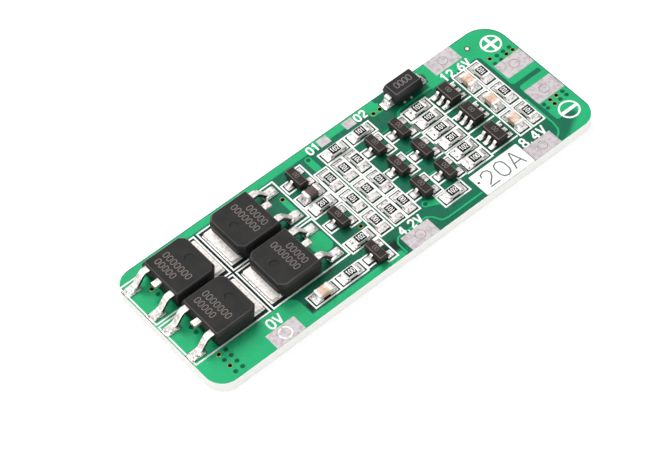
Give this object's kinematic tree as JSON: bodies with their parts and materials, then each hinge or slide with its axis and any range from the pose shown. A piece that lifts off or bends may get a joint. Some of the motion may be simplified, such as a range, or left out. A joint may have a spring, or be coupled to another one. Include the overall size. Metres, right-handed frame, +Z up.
{
  "type": "battery management board",
  "caption": "Long narrow green circuit board with power transistors at one end, rows of small surface-mount parts and bare solder pads for cell and output wires.",
  "frame": {"origin": "middle of the board's underside", "axes": "+X along the board from the power transistors to the output pads, +Y across the board towards the edge with the rectifier, +Z up out of the component side"},
  "size_m": [0.058, 0.02, 0.0039],
  "materials": {
    "glass_epoxy": "green solder mask over woven glass epoxy, cream cut edges",
    "tinned_copper": "dull tin over copper",
    "solder": "bright, uneven solder",
    "tinned_leads": "satin tin plate",
    "power_moulding": "matt charcoal moulding",
    "rectifier_moulding": "satin black moulding",
    "small_moulding": "matt brown-black moulding",
    "chip_resistor": "black glaze over white alumina, tinned ends",
    "tan_chip_capacitor": "tan fired ceramic, tinned ends",
    "dark_chip_capacitor": "dark brown fired ceramic, tinned ends"
  },
  "bodies": {
    "root": {"board": "glass_epoxy", "cell_monitor_1": "small_moulding", "cell_monitor_1_leads": "tinned_leads", "cell_monitor_2": "small_moulding", "cell_monitor_2_leads": "tinned_leads", "cell_monitor_3": "small_moulding", "cell_monitor_3_leads": "tinned_leads", "component_pads": "tinned_copper", "driver_transistor_1": "small_moulding", "driver_transistor_2": "small_moulding", "driver_transistor_3": "small_moulding", "gate_capacitor": "dark_chip_capacitor", "gate_transistor_1": "small_moulding", "gate_transistor_2": "small_moulding", "gate_transistor_3": "small_moulding", "mosfet_1": "power_moulding", "mosfet_1_leads": "tinned_leads", "mosfet_2": "power_moulding", "mosfet_2_leads": "tinned_leads", "mosfet_3": "power_moulding", "mosfet_3_leads": "tinned_leads", "mosfet_4": "power_moulding", "mosfet_4_leads": "tinned_leads", "output_capacitor": "tan_chip_capacitor", "rectifier": "rectifier_moulding", "rectifier_leads": "tinned_leads", "resistor_01": "chip_resistor", "resistor_02": "chip_resistor", "resistor_03": "chip_resistor", "resistor_04": "chip_resistor", "resistor_05": "chip_resistor", "resistor_06": "chip_resistor", "resistor_07": "chip_resistor", "resistor_08": "chip_resistor", "resistor_09": "chip_resistor", "resistor_10": "chip_resistor", "resistor_11": "chip_resistor", "resistor_12": "chip_resistor", "resistor_13": "chip_resistor", "resistor_14": "chip_resistor", "resistor_15": "chip_resistor", "resistor_16": "chip_resistor", "resistor_17": "chip_resistor", "resistor_18": "chip_resistor", "resistor_19": "chip_resistor", "resistor_20": "chip_resistor", "resistor_21": "chip_resistor", "resistor_22": "chip_resistor", "resistor_23": "chip_resistor", "resistor_24": "chip_resistor", "shifter_transistor_1": "small_moulding", "shifter_transistor_2": "small_moulding", "shifter_transistor_3": "small_moulding", "solder_joints": "solder", "supply_capacitor_1": "tan_chip_capacitor", "supply_capacitor_2": "tan_chip_capacitor", "supply_capacitor_3": "tan_chip_capacitor", "transistor_leads": "tinned_leads", "wire_pads": "tinned_copper"}
  },
  "joints": []
}
